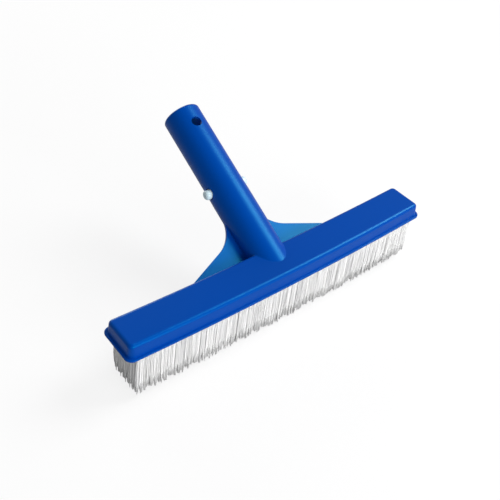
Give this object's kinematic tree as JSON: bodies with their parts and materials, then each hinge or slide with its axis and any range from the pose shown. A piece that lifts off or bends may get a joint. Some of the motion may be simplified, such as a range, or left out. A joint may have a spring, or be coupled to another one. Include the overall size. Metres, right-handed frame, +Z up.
{
  "type": "pool wall brush",
  "caption": "Pool wall brush: bowed blue plastic back with rows of white bristle tufts and a leaning hollow handle with a sprung pin clip for a telescopic pole.",
  "frame": {"origin": "middle of the outline seen from above, at the height of the lowest bristle tips", "axes": "+X along the brush to its right end, +Y back towards the handle's open end, +Z up from the bristle tips to the back"},
  "size_m": [0.254, 0.1416, 0.1054],
  "materials": {
    "blue_plastic": "satin moulded polypropylene",
    "clip_plastic": "white moulded acetal",
    "bristle": "off-white nylon filament",
    "anchor_steel": "stainless wire"
  },
  "bodies": {
    "brush": {"brush_body": "blue_plastic", "clip_bend": "clip_plastic", "front_tufts": "bristle", "front_middle_tufts": "bristle", "middle_tufts": "bristle", "rear_middle_tufts": "bristle", "rear_tufts": "bristle", "front_anchors": "anchor_steel", "front_middle_anchors": "anchor_steel", "middle_anchors": "anchor_steel", "rear_middle_anchors": "anchor_steel", "rear_anchors": "anchor_steel"},
    "left_clip": {"left_clip_arm": "clip_plastic"},
    "right_clip": {"right_clip_arm": "clip_plastic"}
  },
  "joints": [
    {"name": "left_pin_press", "type": "hinge", "parent": "brush", "child": "left_clip", "pos_m": [-0.00951, 0.03721, 0.07933], "axis": [0, -0.4571, 0.8894], "range_deg": [0, 7], "stiffness_Nm_per_rad": 0.5, "springref_deg": -11.46},
    {"name": "right_pin_press", "type": "hinge", "parent": "brush", "child": "right_clip", "pos_m": [0.00951, 0.03721, 0.07933], "axis": [0, 0.4571, -0.8894], "range_deg": [0, 7], "stiffness_Nm_per_rad": 0.5, "springref_deg": -11.46}
  ]
}
